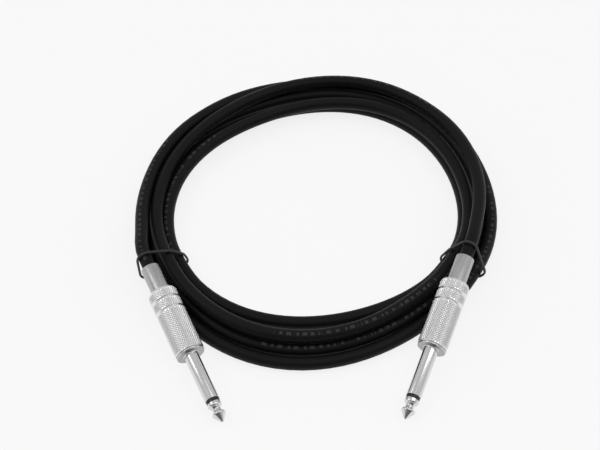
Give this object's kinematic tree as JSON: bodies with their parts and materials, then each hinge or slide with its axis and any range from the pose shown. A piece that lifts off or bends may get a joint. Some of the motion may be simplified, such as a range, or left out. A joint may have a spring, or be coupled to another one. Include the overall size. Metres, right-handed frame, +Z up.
{
  "type": "instrument cable",
  "caption": "Coiled shielded instrument lead with straight 6.35 mm mono plugs, unscrewing knurled barrels and two ties round the bundle.",
  "frame": {"origin": "middle of the whole coiled cable's box, on the surface it lies on", "axes": "+Z up; +Y away from the plugs' tips, along the longer side; +X to the right as seen with the tips towards the viewer"},
  "size_m": [0.1693, 0.2013, 0.0236],
  "materials": {
    "jacket": "black flexible PVC jacket, satin",
    "contact_nickel": "bright polished nickel plate",
    "tube_nickel": "bright nickel plate",
    "barrel_nickel": "satin nickel plate with a fine diamond knurl",
    "ring_plastic": "black moulded insulator",
    "insulator_plastic": "natural moulded insulator",
    "bush_board": "brown insulating board",
    "tag_metal": "tinned sheet metal",
    "liner_plastic": "thin insulating sleeve",
    "core_plastic": "white core insulation",
    "copper": "stranded copper",
    "tie_rubber": "thin black band"
  },
  "bodies": {
    "lead": {"cable": "jacket", "left_tip": "contact_nickel", "left_tip_ring": "ring_plastic", "left_plug_body": "contact_nickel", "left_rod_insulator": "insulator_plastic", "left_rear_bush": "bush_board", "left_tip_lug": "tag_metal", "left_ground_tag": "tag_metal", "left_core_insulation": "core_plastic", "left_core_conductor": "copper", "left_shield_pigtail": "copper", "left_tie": "tie_rubber", "right_tip": "contact_nickel", "right_tip_ring": "ring_plastic", "right_plug_body": "contact_nickel", "right_rod_insulator": "insulator_plastic", "right_rear_bush": "bush_board", "right_tip_lug": "tag_metal", "right_ground_tag": "tag_metal", "right_core_insulation": "core_plastic", "right_core_conductor": "copper", "right_shield_pigtail": "copper", "right_tie": "tie_rubber"},
    "left_barrel_carriage": {"left_liner": "liner_plastic"},
    "left_barrel_shell": {"left_barrel": "barrel_nickel", "left_rear_tube": "tube_nickel"},
    "right_barrel_carriage": {"right_liner": "liner_plastic"},
    "right_barrel_shell": {"right_barrel": "barrel_nickel", "right_rear_tube": "tube_nickel"}
  },
  "joints": [
    {"name": "left_barrel_slide", "type": "slide", "parent": "lead", "child": "left_barrel_carriage", "axis": [-0.431, 0.8916, 0.1392], "range_m": [0, 0.00375]},
    {"name": "left_barrel_screw", "type": "hinge", "parent": "left_barrel_carriage", "child": "left_barrel_shell", "pos_m": [-0.06165, -0.05663, 0.01016], "axis": [-0.431, 0.8916, 0.1392], "range_deg": [0, 1800]},
    {"name": "right_barrel_slide", "type": "slide", "parent": "lead", "child": "right_barrel_carriage", "axis": [0.3711, 0.9095, 0.1874], "range_m": [0, 0.00375]},
    {"name": "right_barrel_screw", "type": "hinge", "parent": "right_barrel_carriage", "child": "right_barrel_shell", "pos_m": [0.05286, -0.05403, 0.01187], "axis": [0.3711, 0.9095, 0.1874], "range_deg": [0, 1800]}
  ],
  "couplings": [
    {"joint": "left_barrel_screw", "follows": "left_barrel_slide", "rad_per_m": 8377.6},
    {"joint": "right_barrel_screw", "follows": "right_barrel_slide", "rad_per_m": 8377.6}
  ]
}
